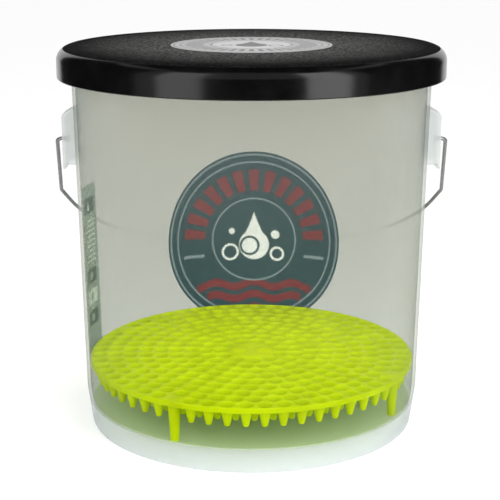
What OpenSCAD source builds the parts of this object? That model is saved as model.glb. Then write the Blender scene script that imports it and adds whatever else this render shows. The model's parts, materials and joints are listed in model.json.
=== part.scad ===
// Round wash bucket with a seat lid, a swinging bail and a lift-out dirt trap.
// Millimetres. The origin is on the ground at the centre of the foot ring, +Z is up and the front is -Y.

/* [Bucket] */
// Height from the ground to the top of the rim
bucket_h = 303; // [285:1:320]
// Outer radius of the foot ring at the ground
foot_r = 135; // [128:0.5:137]
// Outer radius where the foot ring meets the tapered wall
wall_low_r = 138.9; // [137.5:0.1:140]
// Height where the foot ring meets the tapered wall
wall_low_z = 30; // [24:1:36]
// Outer radius of the tapered wall at the lower edge of the rim lip
wall_top_r = 144.2; // [142:0.1:145]
// Wall thickness
wall_t = 2.6; // [2:0.1:3]
// Height of the floor's upper face
floor_z = 17.5; // [14:0.5:24]
// Floor thickness
floor_t = 3; // [2:0.1:4]
// Outer radius of the turned-down rim lip
rim_r = 151.3; // [149:0.1:152]
// Height of the turned-down rim lip
rim_lip_h = 12; // [8:0.5:13]

/* [Bail ears] */
// Distance from the bucket's axis to the outer face of an ear
ear_face_x = 153; // [152:0.1:154]
// Width of an ear where it meets the wall
ear_root_w = 36; // [30:1:44]
// Width of an ear's outer face
ear_face_w = 22; // [18:1:28]
// Height of the lower end of the ear's side walls
ear_low_z = 215.7; // [205:0.1:220]
// Height where the sloped roof of an ear meets the wall
ear_roof_z = 262; // [255:0.5:270]
// Height of the bail's pivot axis
pivot_z = 235; // [225:0.5:245]
// Plate thickness of an ear
ear_t = 2.2; // [1.6:0.1:3]

/* [Bail] */
// Diameter of the bail's wire
wire_d = 3.2; // [2.6:0.1:4]
// Distance from the pivot axis to the middle of the hand grip
bail_reach = 195; // [190:0.5:200]
// Half the length of the straight middle of the wire
bail_mid_half = 53; // [50:0.5:58]
// Bend radius of the wide curves beside the grip
bail_curve_r = 112; // [106:1:118]
// How far the wide curves turn
bail_curve_turn = 74.7; // [72:0.1:77]
// Angle the wire has turned after the small kinks above the legs
bail_leg_turn = 95.3; // [93:0.1:97]
// How far the bail hangs back from straight down
bail_tilt = 51; // [50:0.5:52]
// Length of the hand grip
grip_len = 92; // [80:1:98]
// Outer diameter of the hand grip
grip_d = 20; // [17:0.5:20]

/* [Lid] */
// Outer radius of the lid's skirt
lid_r = 155.5; // [154.5:0.1:156]
// Height of the skirt's lower edge
lid_low_z = 287; // [284:0.5:290]
// Height of the lid's top
lid_top_z = 311; // [309:0.5:314]
// Radius of the rounded edge between the skirt and the top
lid_round = 10.5; // [8:0.5:12]
// Thickness of the lid
lid_t = 3; // [2.4:0.1:3.4]
// Radius of the round badge set flush in the lid's top
badge_r = 65; // [55:0.5:75]

/* [Dirt trap] */
// Radius of the trap's disc
trap_r = 135.6; // [134:0.1:136]
// Height of the trap's upper face
trap_top_z = 52.7; // [48:0.1:60]
// Thickness of the trap's disc
trap_t = 4.5; // [3.5:0.1:6]
// Height of the funnel tips
tip_z = 35.7; // [32:0.1:40]
// Radius of a funnel's mouth
mouth_r = 6.1; // [5:0.1:6.3]
// Radius of a funnel's throat at the disc's lower face
throat_r = 3.9; // [3:0.1:4.2]
// Radius of the drain hole at a funnel's tip
drain_r = 1.5; // [1.2:0.1:2.2]
// Radius of the ring of funnels next to the rim
outer_ring_r = 128; // [126:0.1:129]
// Distance between neighbouring rings of funnels
ring_step = 12.8; // [12.6:0.1:13.2]
// Direction of the front leg, turned from the front towards the right
leg_turn = -27.6; // [-45:0.1:45]

/* [Labels] */
// Radius of the round label on the rear wall
rear_label_r = 82; // [60:1:84]
// Height of the round label's centre
rear_label_z = 115; // [112:1:120]
// Thickness of both printed films
film_t = 0.3; // [0.2:0.05:0.5]
// Height of the side label's lower edge
side_label_low = 45; // [40:1:60]
// Height of the side label's upper edge
side_label_high = 190; // [150:1:205]

/* [Hidden] */
$fn = 96;
// How far cutting tools and hanging pieces run past a face
sink = 0.3;
// Clear gap left between bodies that rest on each other
rest_gap = 0.3;
// Radial running fit of the wire in an ear
pivot_fit = 0.08;
// Radial play of the grip on the wire
grip_play = 0.3;
// Thickness of the rim, the slope on its outer edges and the slope between wall and floor
rim_t = 2.6;
edge_cut = 1.2;
corner_cut = 3;
floor_low_z = floor_z - floor_t;
lip_low_z = bucket_h - rim_lip_h;
taper = (wall_top_r - wall_low_r) / (lip_low_z - wall_low_z);
foot_taper = (wall_low_r - foot_r) / wall_low_z;
lid_round_r = lid_r - lid_round;
lid_under_z = lid_top_z - lid_t;
lid_round_z = lid_top_z - lid_round;
badge_t = 0.5;
badge_gap = 0.15;
// Ring under the lid that centres it in the rim, and the soft ring beside it
plug_out_r = 140;
plug_in_r = 137.5;
plug_low_z = 291;
gasket_in_r = 141;
gasket_out_r = 145;
// Height of the sloped roof at the face, and the size of the small slope below it
ear_roof_face_z = 256.5;
ear_nose_x = 1.2;
ear_nose_z = 2;
// How far an ear's block reaches into the wall before it is trimmed on it
ear_sink = 2;
// How much an ear's half width shrinks for each millimetre of plate
side_share = 1.08;
// How much lower the face plate reaches than the ear's sides
flange_drop = 4;
// Where the wire's last bend ends beside an ear, and its flattened head inside the ear
pin_start_x = ear_face_x + 0.3;
head_t = 1.8;
head_d = 6;
head_x = ear_face_x - ear_t - head_t - 0.6;
// How much thinner the wire is drawn out in its bends
bend_thinning = 0.04;
// Bend radii of the small kinks and of the last bends beside the ears
kink_r = 8;
eye_r = 5.6;
// Lengths of the two straight runs that bring the wire back to the pivot axis
kink_turn = bail_leg_turn - bail_curve_turn;
eye_turn = 180 - bail_leg_turn;
run_x = pin_start_x - bail_mid_half - bail_curve_r * sin(bail_curve_turn)
  - kink_r * (sin(bail_leg_turn) - sin(bail_curve_turn)) + eye_r * sin(bail_leg_turn);
run_z = bail_reach - bail_curve_r * (1 - cos(bail_curve_turn))
  - kink_r * (cos(bail_curve_turn) - cos(bail_leg_turn)) - eye_r * (1 + cos(bail_leg_turn));
lead_len = (run_x * sin(bail_leg_turn) - cos(bail_leg_turn) * run_z) / sin(kink_turn);
leg_len = (cos(bail_curve_turn) * run_z - sin(bail_curve_turn) * run_x) / sin(kink_turn);
// Funnels in each ring, from the rim inwards; every 14th place of the first ring is a leg
ring_counts = [56, 50, 45, 39, 34, 28, 22, 17, 11];
leg_every = 14;
// Wall thickness of a funnel's nozzle
nozzle_wall = 0.9;
// Flat middle of the trap and its two knobs
hub_r = 19;
hub_h = 0.8;
knob_x = 11;
knob_low_r = 7.8;
knob_top_r = 5;
knob_h = 2.4;
// Radii of a leg at the disc and at its foot
leg_top_r = 5.5;
leg_foot_r = 3.3;
// Direction of the side label's first edge and its width, turned from +X, and the rear label's offset
side_label_from = 161.3;
side_label_turn = 13.7;
rear_label_x = 2.6;

milky = [0.86, 0.88, 0.85, 0.45];
black = [0.08, 0.08, 0.08];
lime = [0.72, 0.88, 0.05];
steel = [0.48, 0.49, 0.50];
slate = [0.20, 0.23, 0.27];
grey_green = [0.55, 0.63, 0.60];
natural = [0.93, 0.93, 0.90];
dark_grey = [0.16, 0.16, 0.16];
badge_grey = [0.50, 0.50, 0.48];

// Outer radius of the bucket at a height
function wall_r(z) = z < wall_low_z ? foot_r + foot_taper * z : wall_low_r + taper * (z - wall_low_z);
// Inner radius of the bucket at a height
function inner_r(z) = wall_r(z) - wall_t;

// Turned section of the foot ring, the tapered wall and the turned-down rim
module wall_section() {
  polygon([
    [inner_r(0), 0],
    [foot_r - edge_cut, 0],
    [wall_r(edge_cut), edge_cut],
    [wall_low_r, wall_low_z],
    [wall_r(bucket_h - rim_t), bucket_h - rim_t],
    [rim_r - rim_t, bucket_h - rim_t],
    [rim_r - rim_t, lip_low_z],
    [rim_r, lip_low_z],
    [rim_r, bucket_h - edge_cut],
    [rim_r - edge_cut, bucket_h],
    [inner_r(bucket_h), bucket_h],
    [inner_r(wall_low_z), wall_low_z],
    [inner_r(floor_z + corner_cut), floor_z + corner_cut],
    [inner_r(floor_z) - corner_cut, floor_z],
    [inner_r(floor_z), floor_z]
  ]);
}

module bucket_wall() {
  color(milky) rotate_extrude() wall_section();
}

// Floor disc, whose conical edge joins the wall above the foot ring
module bucket_floor() {
  color(milky) translate([0, 0, floor_low_z])
    cylinder(h = floor_t, r1 = inner_r(floor_low_z), r2 = inner_r(floor_z));
}

// Solid outside the tapered wall, used to seat an ear or a film on it
module wall_cone(grow) {
  low = wall_low_z;
  high = lip_low_z;
  translate([0, 0, low]) cylinder(h = high - low, r1 = wall_r(low) + grow, r2 = wall_r(high) + grow);
}

// Block of an ear with a sloped roof and sides that close in, shrunk by a plate thickness for its hollow
module ear_block(t, low) {
  root_x = wall_low_r - ear_sink;
  half_root = ear_root_w / 2 - side_share * t;
  half_face = ear_face_w / 2 - side_share * t;
  intersection() {
    translate([0, ear_root_w / 2, 0]) rotate([90, 0, 0]) linear_extrude(ear_root_w) polygon([
      [root_x, low],
      [ear_face_x - t, low],
      [ear_face_x - t, ear_roof_face_z - ear_nose_z - t],
      [ear_face_x - t - ear_nose_x, ear_roof_face_z - t],
      [wall_r(ear_roof_z) - ear_sink, ear_roof_z - t],
      [root_x, ear_roof_z - t]
    ]);
    translate([0, 0, low]) linear_extrude(ear_roof_z - low) polygon([
      [root_x, -half_root],
      [ear_face_x - t, -half_face],
      [ear_face_x - t, half_face],
      [root_x, half_root]
    ]);
  }
}

// Hollow ear, open below, with a face plate that reaches lower than its sides
module ear() {
  color(milky) difference() {
    union() {
      ear_block(0, ear_low_z);
      translate([ear_face_x - ear_t, -ear_face_w / 2, ear_low_z - flange_drop])
        cube([ear_t, ear_face_w, flange_drop + 1]);
    }
    ear_block(ear_t, ear_low_z - 1);
    wall_cone(0);
    translate([wall_low_r, 0, pivot_z]) rotate([0, 90, 0]) cylinder(h = 30, d = wire_d + 2 * pivot_fit);
  }
}

module ear_right() {
  ear();
}

module ear_left() {
  rotate([0, 0, 180]) ear();
}

// Round printed film on the rear of the wall
module rear_label() {
  color(slate) intersection() {
    difference() {
      wall_cone(film_t);
      wall_cone(0);
    }
    translate([rear_label_x, 0, rear_label_z]) rotate([-90, 0, 0])
      cylinder(h = wall_top_r + 10, r = rear_label_r);
  }
}

// Narrow printed film on the left of the wall
module side_label() {
  color(grey_green) rotate([0, 0, side_label_from]) rotate_extrude(angle = side_label_turn) polygon([
    [wall_r(side_label_low), side_label_low],
    [wall_r(side_label_low) + film_t, side_label_low],
    [wall_r(side_label_high) + film_t, side_label_high],
    [wall_r(side_label_high), side_label_high]
  ]);
}

// Straight run of wire along +X
module wire_run(length) {
  rotate([0, 90, 0]) cylinder(h = length, d = wire_d, $fn = 32);
}

// Bend that starts along +X and turns towards +Z
module wire_bend(radius, turn) {
  rotate([90, 0, 0]) translate([0, radius, 0]) rotate([0, 0, -90])
    rotate_extrude(angle = turn) translate([radius, 0]) circle(d = wire_d - bend_thinning, $fn = 32);
}

// Moves what follows to the far end of a bend
module after_bend(radius, turn) {
  translate([radius * sin(turn), 0, radius * (1 - cos(turn))]) rotate([0, -turn, 0]) children();
}

// One side of the wire, from the end of its straight middle to the headed end in the ear
module bail_side() {
  translate([bail_mid_half, 0, -bail_reach]) {
    wire_bend(bail_curve_r, bail_curve_turn);
    after_bend(bail_curve_r, bail_curve_turn) {
      wire_run(lead_len);
      translate([lead_len, 0, 0]) {
        wire_bend(kink_r, kink_turn);
        after_bend(kink_r, kink_turn) {
          wire_run(leg_len);
          translate([leg_len, 0, 0]) {
            wire_bend(eye_r, eye_turn);
          }
        }
      }
    }
  }
  translate([head_x, 0, 0]) wire_run(pin_start_x - head_x);
  translate([head_x, 0, 0]) rotate([0, 90, 0]) cylinder(h = head_t, d = head_d, $fn = 32);
}

// Places what follows in the plane of the hanging bail
module in_bail_plane() {
  translate([0, 0, pivot_z]) rotate([bail_tilt, 0, 0]) children();
}

module bail_wire() {
  color(steel) in_bail_plane() {
    translate([-bail_mid_half, 0, -bail_reach]) wire_run(2 * bail_mid_half);
    bail_side();
    mirror([1, 0, 0]) bail_side();
  }
}

// Turned hand grip with a collar at each end
module hand_grip() {
  half = grip_len / 2;
  out_r = grip_d / 2;
  bore_r = wire_d / 2 + grip_play;
  collar = 7;
  color(natural) in_bail_plane() translate([0, 0, -bail_reach]) rotate([0, 90, 0])
    rotate_extrude() polygon([
      [bore_r, -half],
      [out_r - edge_cut, -half],
      [out_r, -half + edge_cut],
      [out_r, -half + collar],
      [out_r - edge_cut, -half + collar + edge_cut],
      [out_r - edge_cut, half - collar - edge_cut],
      [out_r, half - collar],
      [out_r, half - edge_cut],
      [out_r - edge_cut, half],
      [bore_r, half]
    ]);
}

// Outline of the lid, shrunk by a thickness for its underside
module lid_outline(t, low) {
  translate([0, low]) square([lid_round_r, lid_top_z - t - low]);
  translate([0, low]) square([lid_r - t, lid_round_z - low]);
  translate([lid_round_r, lid_round_z]) circle(r = lid_round - t);
}

module lid_shell() {
  color(black) rotate_extrude() difference() {
    lid_outline(0, lid_low_z);
    lid_outline(lid_t, lid_low_z - 1);
    translate([-1, lid_top_z - badge_t]) square([badge_r + 1, badge_t + 1]);
  }
}

module ring_2d(out_r, in_r) {
  difference() {
    circle(r = out_r);
    circle(r = in_r);
  }
}

// Ring under the lid that centres it in the rim
module lid_plug() {
  color(black) translate([0, 0, plug_low_z]) linear_extrude(lid_under_z - plug_low_z)
    ring_2d(plug_out_r, plug_in_r);
}

// Soft ring that seals the lid on the rim
module lid_gasket() {
  low = bucket_h + rest_gap;
  color(dark_grey) translate([0, 0, low]) linear_extrude(lid_under_z - low)
    ring_2d(gasket_out_r, gasket_in_r);
}

module lid_badge() {
  color(badge_grey) translate([0, 0, lid_top_z - badge_t]) cylinder(h = badge_t, r = badge_r - badge_gap);
}

// Repeats what follows at every funnel of the trap, leaving out the four leg places
module each_funnel() {
  for (ring = [0 : len(ring_counts) - 1])
    for (i = [0 : ring_counts[ring] - 1])
      if (ring > 0 || i % leg_every != 0)
        rotate([0, 0, leg_turn + i * 360 / ring_counts[ring]])
          translate([0, ring * ring_step - outer_ring_r, 0]) children();
}

// Disc of the trap with a countersunk mouth and a hanging nozzle for each funnel
module trap_plate() {
  low = trap_top_z - trap_t;
  color(lime) difference() {
    union() {
      translate([0, 0, low]) cylinder(h = trap_t, r = trap_r);
      each_funnel() translate([0, 0, tip_z])
        cylinder(h = low - tip_z + sink, r1 = drain_r + nozzle_wall, r2 = throat_r + nozzle_wall, $fn = 20);
    }
    each_funnel() translate([0, 0, low])
      cylinder(h = trap_t + sink, r1 = throat_r, r2 = mouth_r, $fn = 20);
    each_funnel() translate([0, 0, tip_z - sink])
      cylinder(h = low - tip_z + 2 * sink, r1 = drain_r, r2 = throat_r, $fn = 20);
  }
}

// Flat middle of the disc with two knobs to hold it by
module trap_hub() {
  color(lime) translate([0, 0, trap_top_z]) {
    cylinder(h = hub_h, r = hub_r);
    for (side = [-1, 1])
      translate([side * knob_x, 0, 0]) cylinder(h = knob_h, r1 = knob_low_r, r2 = knob_top_r);
  }
}

// Tapered leg of the trap, at a number of quarter turns from the front one
module trap_leg(quarter) {
  foot_z = floor_z + rest_gap;
  top_z = trap_top_z - trap_t;
  color(lime) rotate([0, 0, leg_turn + 90 * quarter]) translate([0, -outer_ring_r, foot_z])
    cylinder(h = top_z - foot_z, r1 = leg_foot_r, r2 = leg_top_r);
}

bucket_wall();
bucket_floor();
ear_left();
ear_right();
rear_label();
side_label();
bail_wire();
hand_grip();
lid_shell();
lid_plug();
lid_gasket();
lid_badge();
trap_plate();
trap_hub();
trap_leg(0);  // trap_leg_front
trap_leg(1);  // trap_leg_right
trap_leg(2);  // trap_leg_back
trap_leg(3);  // trap_leg_left
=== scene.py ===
"""Wash bucket with a seat lid, a swinging bail and a lift-out dirt trap: looks, light and camera."""

import json
import logging
import math
import random
from dataclasses import dataclass, field
from enum import Enum
from typing import Iterable, Sequence

import bpy
from mathutils import Matrix, Vector, geometry

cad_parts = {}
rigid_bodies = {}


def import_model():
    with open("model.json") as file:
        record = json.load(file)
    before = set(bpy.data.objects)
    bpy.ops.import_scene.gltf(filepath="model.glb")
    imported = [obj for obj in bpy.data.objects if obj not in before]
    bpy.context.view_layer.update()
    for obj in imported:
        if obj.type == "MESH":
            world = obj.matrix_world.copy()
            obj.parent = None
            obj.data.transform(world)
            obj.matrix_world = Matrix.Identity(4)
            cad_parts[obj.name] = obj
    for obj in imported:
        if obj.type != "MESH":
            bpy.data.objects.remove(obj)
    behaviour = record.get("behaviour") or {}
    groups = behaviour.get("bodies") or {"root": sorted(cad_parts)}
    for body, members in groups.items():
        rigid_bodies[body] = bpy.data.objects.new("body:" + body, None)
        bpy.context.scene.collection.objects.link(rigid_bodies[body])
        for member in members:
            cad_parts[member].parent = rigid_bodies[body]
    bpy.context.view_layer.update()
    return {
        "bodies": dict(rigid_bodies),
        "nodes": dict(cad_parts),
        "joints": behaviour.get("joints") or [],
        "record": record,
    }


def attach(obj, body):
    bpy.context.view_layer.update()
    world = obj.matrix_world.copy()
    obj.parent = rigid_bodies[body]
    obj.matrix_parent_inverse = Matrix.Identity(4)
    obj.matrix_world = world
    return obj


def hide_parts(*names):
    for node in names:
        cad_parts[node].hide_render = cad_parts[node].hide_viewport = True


LOG = logging.getLogger("wash_bucket")

Colour = tuple[float, float, float]
Point2 = tuple[float, float]
Point3 = tuple[float, float, float]
Socket = bpy.types.NodeSocket

MM = 0.001
TINY = 1e-6
NEARLY_STRAIGHT = 0.02
MOST_OF_EDGE = 0.49


class Body(Enum):
    """The rigid bodies that pieces ride on."""

    BUCKET = "bucket"
    BAIL = "bail"
    GRIP = "grip"
    LID = "lid"
    TRAP = "trap"


class Slot(Enum):
    """The record's material slots."""

    MILKY = "milky_plastic"
    REAR_PRINT = "rear_print"
    SIDE_PRINT = "side_print"
    WIRE = "wire_steel"
    GRIP = "grip_plastic"
    LID = "lid_plastic"
    GASKET = "gasket_rubber"
    BADGE = "badge_print"
    TRAP = "trap_plastic"


# ---------------------------------------------------------------------------
# Node sheets: a thin layer over a material's node tree
# ---------------------------------------------------------------------------


class NodeSheet:
    """A material and short methods that add nodes to it."""

    def __init__(self, name: str) -> None:
        """Start an empty material.

        Args:
            name: the material's name.
        """
        self.material = bpy.data.materials.new(name)
        self.material.use_nodes = True
        self.tree = self.material.node_tree
        self.tree.nodes.clear()
        self.output = self.tree.nodes.new("ShaderNodeOutputMaterial")

    def node(self, kind: str, **settings: object) -> bpy.types.Node:
        """Add a node.

        Args:
            kind: the node's type name without its ShaderNode start.
            settings: properties to set on it.

        Returns:
            The new node.
        """
        made = self.tree.nodes.new("ShaderNode" + kind)
        for key, value in settings.items():
            setattr(made, key, value)
        return made

    def feed(self, socket: Socket, value: object) -> None:
        """Link a socket, or set its plain value.

        Args:
            socket: the input to fill.
            value: another socket, a number, or a colour.
        """
        if isinstance(value, bpy.types.NodeSocket):
            self.tree.links.new(value, socket)
        elif isinstance(value, tuple) and socket.type == "RGBA":
            socket.default_value = (*value, 1.0)
        else:
            socket.default_value = value

    def math(self, operation: str, *inputs: object, clamp: bool = False) -> Socket:
        """Add a Math node.

        Args:
            operation: the node's operation.
            inputs: up to three sockets or numbers.
            clamp: True to clamp the result to 0..1.

        Returns:
            The result.
        """
        made = self.node("Math", operation=operation, use_clamp=clamp)
        for socket, value in zip(made.inputs, inputs):
            self.feed(socket, value)
        return made.outputs[0]

    def minus(self, a: object, b: object) -> Socket:
        """Subtract b from a; each is a socket or a number."""
        return self.math("SUBTRACT", a, b)

    def times(self, a: object, b: object) -> Socket:
        """Multiply a by b; each is a socket or a number."""
        return self.math("MULTIPLY", a, b)

    def size_of(self, a: object) -> Socket:
        """The value of a without its sign."""
        return self.math("ABSOLUTE", a)

    def noise(self, scale: float, detail: float = 3.0, rough: float = 0.5) -> Socket:
        """Add a noise texture on the piece's own coordinates.

        Args:
            scale: the noise's scale per metre.
            detail: how many octaves it has.
            rough: how strong the finer octaves are.

        Returns:
            The noise's factor.
        """
        made = self.node("TexNoise")
        self.feed(made.inputs["Vector"], self.own())
        self.feed(made.inputs["Scale"], scale)
        self.feed(made.inputs["Detail"], detail)
        self.feed(made.inputs["Roughness"], rough)
        return made.outputs["Fac"]

    def cells(self, scale: float) -> Socket:
        """Add a Voronoi texture on the piece's own coordinates.

        Args:
            scale: cells per metre.

        Returns:
            The distance to the nearest cell's point.
        """
        made = self.node("TexVoronoi", feature="F1")
        self.feed(made.inputs["Vector"], self.own())
        self.feed(made.inputs["Scale"], scale)
        return made.outputs["Distance"]

    def own(self) -> Socket:
        """The piece's own coordinates."""
        return self.node("TexCoord").outputs["Object"]

    def axes(self) -> tuple[Socket, Socket, Socket]:
        """The piece's own coordinates, one by one."""
        split = self.node("SeparateXYZ")
        self.feed(split.inputs[0], self.own())
        return split.outputs[0], split.outputs[1], split.outputs[2]

    def ramp(
        self, value: Socket, low: float, high: float, to_low: float = 0.0, to_high: float = 1.0
    ) -> Socket:
        """Map a range onto another, clamped.

        Args:
            value: what is mapped.
            low: where the first range starts.
            high: where it ends.
            to_low: what its start becomes.
            to_high: what its end becomes.

        Returns:
            The mapped value.
        """
        made = self.node("MapRange")
        names = ("Value", "From Min", "From Max", "To Min", "To Max")
        for name, given in zip(names, (value, low, high, to_low, to_high)):
            self.feed(made.inputs[name], given)
        return made.outputs["Result"]

    def blend(self, mask: object, under: object, over: object) -> Socket:
        """Mix two colours.

        Args:
            mask: 0 for under, 1 for over.
            under: a colour or socket.
            over: a colour or socket.

        Returns:
            The mixed colour.
        """
        made = self.node("Mix", data_type="RGBA")
        self.feed(made.inputs[0], mask)
        self.feed(made.inputs[6], under)
        self.feed(made.inputs[7], over)
        return made.outputs[2]

    def bump(self, height: Socket, depth: float, strength: float = 1.0) -> Socket:
        """Add a bump node.

        Args:
            height: the height, 0..1.
            depth: what a height of 1 stands for, in metres.
            strength: how much of it shows.

        Returns:
            The bent normal.
        """
        made = self.node("Bump")
        self.feed(made.inputs["Height"], height)
        self.feed(made.inputs["Distance"], depth)
        self.feed(made.inputs["Strength"], strength)
        return made.outputs["Normal"]

    def surface(self, **inputs: object) -> bpy.types.Node:
        """Add a Principled shader.

        Args:
            inputs: its inputs by name, with _ for each space.

        Returns:
            The shader node.
        """
        made = self.node("BsdfPrincipled")
        for key, value in inputs.items():
            self.feed(made.inputs[key.replace("_", " ")], value)
        return made

    def through(self, colour: object) -> bpy.types.Node:
        """Add a shader that lets light glow through.

        Args:
            colour: its colour or socket.

        Returns:
            The shader node.
        """
        made = self.node("BsdfTranslucent")
        self.feed(made.inputs["Color"], colour)
        return made

    def join(self, share: object, under: bpy.types.Node, over: bpy.types.Node) -> bpy.types.Node:
        """Mix two shaders.

        Args:
            share: 0 for under, 1 for over.
            under: a shader node.
            over: a shader node.

        Returns:
            The mixing node.
        """
        made = self.node("MixShader")
        self.feed(made.inputs[0], share)
        self.feed(made.inputs[1], under.outputs[0])
        self.feed(made.inputs[2], over.outputs[0])
        return made

    def finish(self, shader: bpy.types.Node) -> bpy.types.Material:
        """Join a shader to the output.

        Args:
            shader: the last shader node.

        Returns:
            The finished material.
        """
        self.feed(self.output.inputs["Surface"], shader.outputs[0])
        return self.material


# ---------------------------------------------------------------------------
# Finishes
# ---------------------------------------------------------------------------


@dataclass(frozen=True)
class MilkyPlastic:
    """Thin natural polyethylene: nearly clear in front, cloudier at its foot and on edge; with painted
    light: a lime cast low down for light bounced off the trap, a darker tint toward the top for the lid's
    shade, and a glow added on the back half that makes it look cloudier behind.
    """

    name: str = "milky_wall"
    # painted light: this lime cast stands in for light bounced off the lime trap onto the wall
    low_colour_painted_lime: Colour = (0.84, 0.90, 0.66)
    top_colour: Colour = (0.80, 0.88, 0.90)
    foot_colour: Colour = (0.88, 0.88, 0.98)
    low_tint: Colour = (0.852, 0.862, 0.842)
    # painted shade: the darker top tint stands in for the shade under the black lid
    top_tint_painted_lid_shade: Colour = (0.762, 0.756, 0.722)
    foot_tint: Colour = (0.93, 0.95, 0.94)
    edge_tint: Colour = (0.62, 0.63, 0.62)
    foot_top: float = 0.0215
    foot_soft: float = 0.002
    low_z: float = 0.055
    top_z: float = 0.285
    low_haze: float = 0.001
    top_haze: float = 0.03
    foot_haze: float = 0.34
    edge_haze: float = 0.09
    edge_power: float = 3.0
    cloud_haze: float = 0.003
    glow_share: float = 0.6
    rough: float = 0.42
    # painted glow: a translucent layer on the back half of the wall that glows with light from behind
    back_glow_painted: float = 0.0
    back_glow_from: float = -0.03
    back_glow_to: float = 0.08
    back_glow_colour: Colour = (0.86, 0.88, 0.85)

    def material(self) -> bpy.types.Material:
        """Build the material."""
        sheet = NodeSheet(self.name)
        flow = sheet.noise(9.0, 2.0)
        speck = sheet.noise(420.0, 2.0)
        _, depth, height = sheet.axes()
        rise = sheet.ramp(height, self.low_z, self.top_z)
        low_part = sheet.ramp(height, self.foot_top - self.foot_soft, self.foot_top, 1.0, 0.0)
        # painted light: low down, the wall takes the lime colour of light bounced off the trap
        tone = sheet.blend(rise, self.low_colour_painted_lime, self.top_colour)
        tone = sheet.blend(low_part, tone, self.foot_colour)
        skin = sheet.surface(
            Base_Color=tone,
            Roughness=sheet.ramp(speck, 0.3, 0.7, self.rough - 0.05, self.rough + 0.07),
            Normal=sheet.bump(speck, 0.00012, 0.35),
            Specular_IOR_Level=0.3,
        )
        milk = sheet.join(self.glow_share, skin, sheet.through(tone))
        graze = sheet.node("LayerWeight")
        sheet.feed(graze.inputs["Blend"], 0.5)
        slant = sheet.math("POWER", graze.outputs["Facing"], self.edge_power)
        # painted shade: the see-through tint darkens toward the top, as in the lid's shade
        tint = sheet.blend(rise, self.low_tint, self.top_tint_painted_lid_shade)
        tint = sheet.blend(low_part, tint, self.foot_tint)
        clear = sheet.node("BsdfTransparent")
        sheet.feed(clear.inputs["Color"], sheet.blend(slant, tint, self.edge_tint))
        haze = sheet.ramp(height, self.low_z, self.top_z, self.low_haze, self.top_haze)
        foot = sheet.times(low_part, self.foot_haze)
        amount = sheet.math("ADD", sheet.math("MULTIPLY_ADD", slant, self.edge_haze, haze), foot)
        drift = sheet.ramp(flow, 0.3, 0.7, -self.cloud_haze, self.cloud_haze)
        amount = sheet.math("ADD", amount, drift, clamp=True)
        wall = sheet.join(amount, clear, milk)
        if not self.back_glow_painted:
            return sheet.finish(wall)
        # painted glow: the back half gets an extra translucent layer, so it is brighter behind than in
        # front
        behind = sheet.ramp(depth, self.back_glow_from, self.back_glow_to, 0.0, self.back_glow_painted)
        share = sheet.times(behind, sheet.minus(1.0, low_part))
        return sheet.finish(sheet.join(share, wall, sheet.through(self.back_glow_colour)))


@dataclass(frozen=True)
class BlackPlastic:
    """Black moulded plastic, glossy or with a pebbled grain; on the grained top, painted shade darkens the
    flecks and the shine toward the rim.
    """

    name: str = "lid_gloss"
    colour: Colour = (0.0012, 0.0012, 0.0012)
    speckle: Colour = (0.003, 0.003, 0.003)
    rough: float = 0.16
    shine: float = 0.15
    grain_depth: float = 0.0
    # painted shade: where the grain's flecks and shine fade toward the rim
    painted_rim_shade_from: float = 0.075
    painted_rim_shade_to: float = 0.14
    painted_rim_shade_low: float = 0.06

    def material(self) -> bpy.types.Material:
        """Build the material."""
        sheet = NodeSheet(self.name)
        wear = sheet.noise(30.0, 4.0, 0.6)
        shine: object = self.shine
        if self.grain_depth:
            pebble = sheet.cells(420.0)
            fine = sheet.noise(430.0, 2.0)
            height = sheet.math("ADD", pebble, sheet.times(fine, 0.6))
            x, y, _ = sheet.axes()
            away = sheet.math("SQRT", sheet.math("MULTIPLY_ADD", x, x, sheet.times(y, y)))
            # painted shade: flecks and shine darken toward the rim, standing in for the top's edge falling
            # away from the light
            left = sheet.ramp(away, self.painted_rim_shade_from, self.painted_rim_shade_to, 1.0, self.painted_rim_shade_low)
            fleck = sheet.times(sheet.ramp(fine, 0.44, 0.64), left)
            shine = sheet.times(left, self.shine)
            bump = sheet.bump(height, self.grain_depth, 0.9)
        else:
            fleck = sheet.ramp(wear, 0.4, 0.7)
            bump = sheet.bump(sheet.noise(60.0, 2.0), 0.00010, 0.4)
        shader = sheet.surface(
            Base_Color=sheet.blend(fleck, self.colour, self.speckle),
            Roughness=sheet.ramp(wear, 0.3, 0.7, self.rough - 0.03, self.rough + 0.05),
            Normal=bump,
            Specular_IOR_Level=shine,
        )
        return sheet.finish(shader)


@dataclass(frozen=True)
class LimePlastic:
    """Vivid yellow-green polypropylene that glows faintly by itself, a painted glow that brightens it
    beyond its lighting.
    """

    name: str = "trap_lime_painted_glow"
    colour: Colour = (0.64, 0.79, 0.0005)
    rough: float = 0.3
    # painted glow: the trap's own colour shines at this strength, though it is no lamp
    glow: float = 0.05
    glow_share: float = 0.22

    def material(self) -> bpy.types.Material:
        """Build the material."""
        sheet = NodeSheet(self.name)
        cloud = sheet.noise(40.0, 3.0)
        speck = sheet.noise(900.0, 2.0)
        deep = tuple(c * 0.86 for c in self.colour)
        tone = sheet.blend(sheet.ramp(cloud, 0.35, 0.65), self.colour, deep)
        skin = sheet.surface(
            Base_Color=tone,
            Roughness=sheet.ramp(speck, 0.3, 0.7, self.rough - 0.04, self.rough + 0.08),
            Normal=sheet.bump(speck, 0.00008, 0.3),
            # painted glow: the lime colour shines by itself
            Emission_Color=self.colour,
            Emission_Strength=self.glow,
            Specular_IOR_Level=0.06,
        )
        return sheet.finish(sheet.join(self.glow_share, skin, sheet.through(tone)))


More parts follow.
